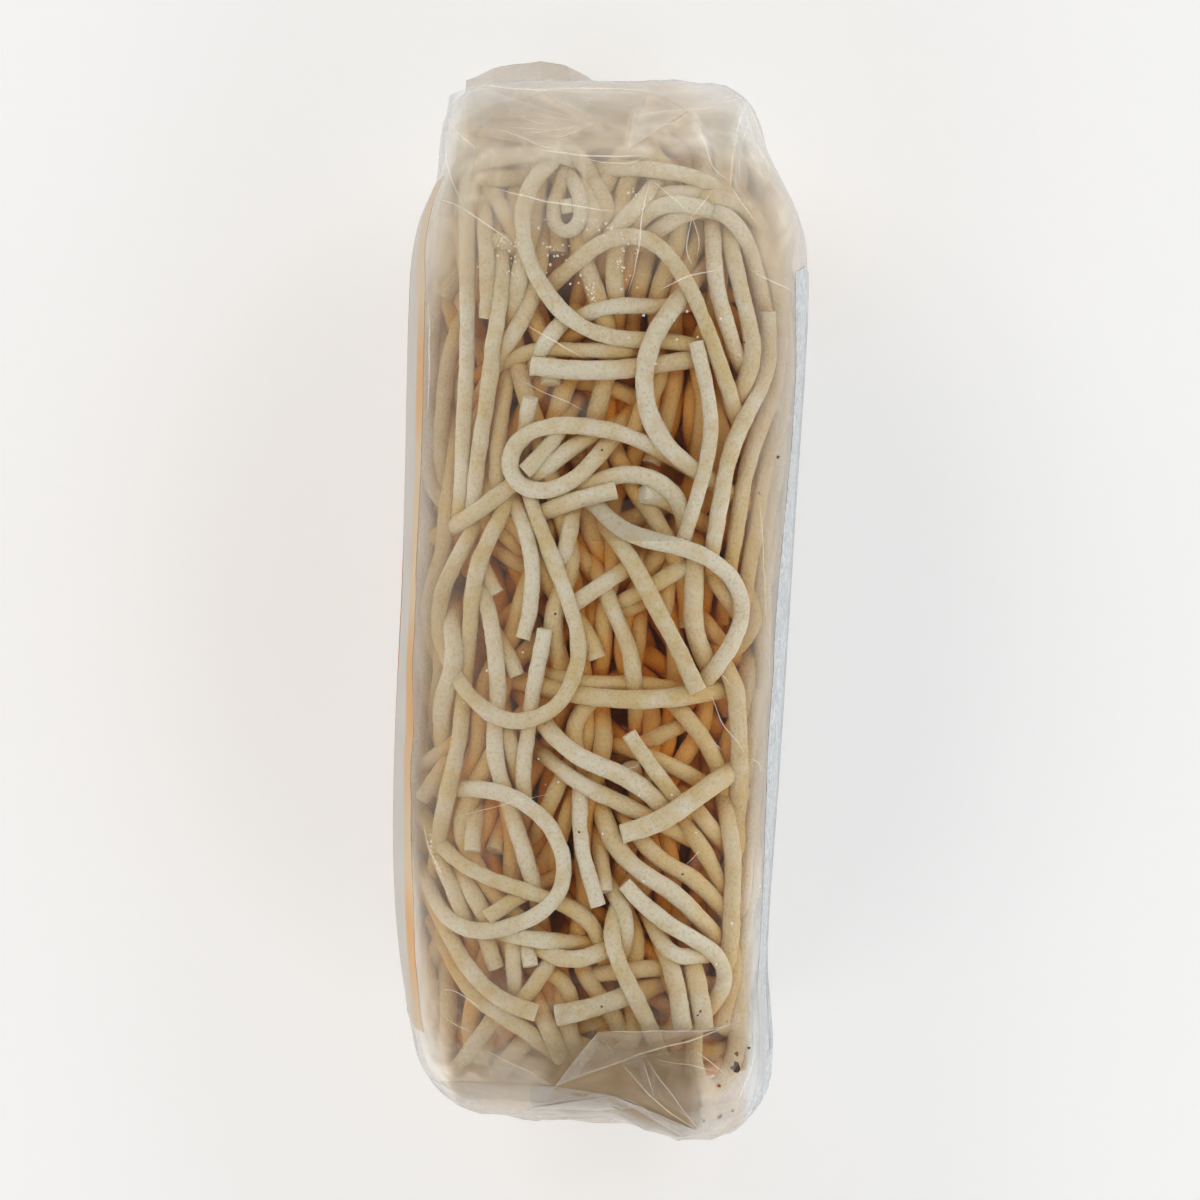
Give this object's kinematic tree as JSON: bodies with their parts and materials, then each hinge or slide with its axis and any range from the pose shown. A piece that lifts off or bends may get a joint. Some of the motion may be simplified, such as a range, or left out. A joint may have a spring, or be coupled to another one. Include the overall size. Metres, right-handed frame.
{
  "type": "sealed bag of dried pancit canton noodles",
  "caption": "Sealed clear film bag packed with a block of tangled dried egg noodle strands, with a printed front label and a white back label, lying on its narrow side.",
  "frame": {"origin": "under the middle of the bag's box, on the surface that it lies on", "axes": "+Z out of the narrow side that faces up, +Y towards the bag's top end, -X out of the front label, +X out of the back label"},
  "size_m": [0.0774, 0.1956, 0.13],
  "materials": {
    "film": "clear crumpled packing film, glossy, slightly milky",
    "front_label": "glossy printed label, orange with paler fields",
    "back_label": "white coated paper label with pale grey bars",
    "noodle": "dry fried wheat and egg noodle, pale straw, finely pitted",
    "crumb": "noodle dust and browned flecks"
  },
  "bodies": {
    "root": {"bag": "film", "front_label": "front_label", "back_label": "back_label"}
  },
  "joints": []
}
